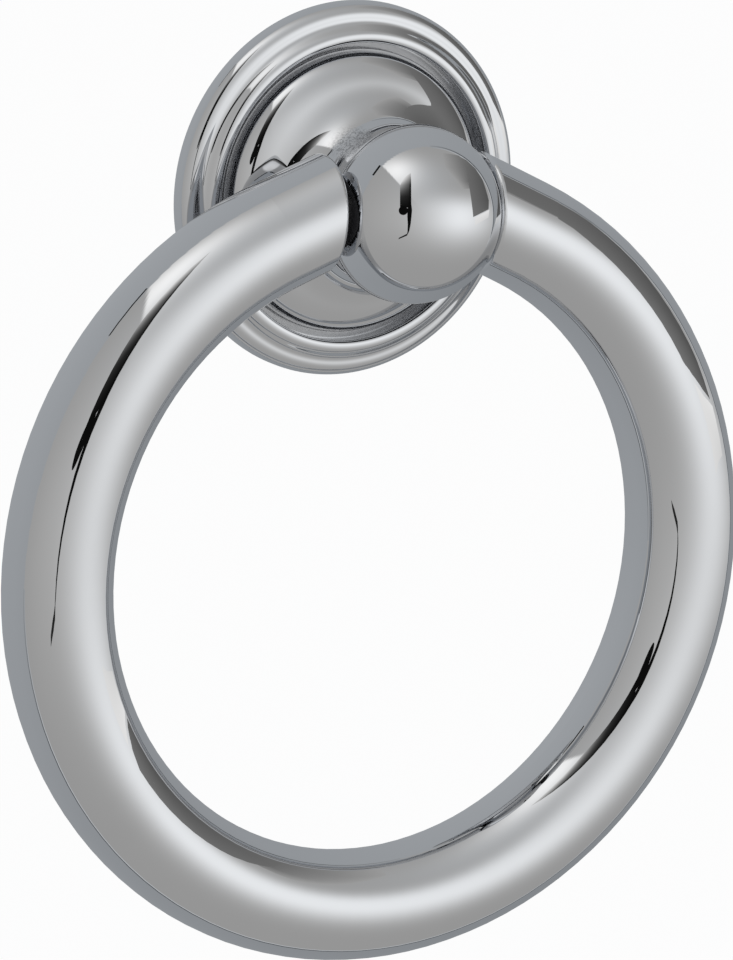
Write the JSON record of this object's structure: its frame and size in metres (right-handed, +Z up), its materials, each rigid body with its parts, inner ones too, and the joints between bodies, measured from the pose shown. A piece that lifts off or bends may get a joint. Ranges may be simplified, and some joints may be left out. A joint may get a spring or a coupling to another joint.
{
  "type": "drop pull",
  "caption": "Ring drop pull for a drawer or door: a round-bar ring swings on a pin through a flattened ball head on a stepped round rosette.",
  "frame": {"origin": "centre of the rosette's back face, at the mouth of the tapped screw hole", "axes": "+Y into the drawer front, so -Y faces the user; +Z up; X across, along the ring's pivot pin"},
  "size_m": [0.0689, 0.0196, 0.0796],
  "materials": {
    "polished_chrome": "polished chrome plate",
    "pin_steel": "ground steel"
  },
  "bodies": {
    "base": {"rosette": "polished_chrome", "post": "polished_chrome"},
    "handle": {"ring": "polished_chrome", "pivot_pin": "pin_steel"}
  },
  "joints": [
    {"name": "ring_swing", "type": "hinge", "parent": "base", "child": "handle", "pos_m": [0, -0.011, 0], "axis": [-1, 0, 0], "range_deg": [-5.5, 185.5]}
  ]
}
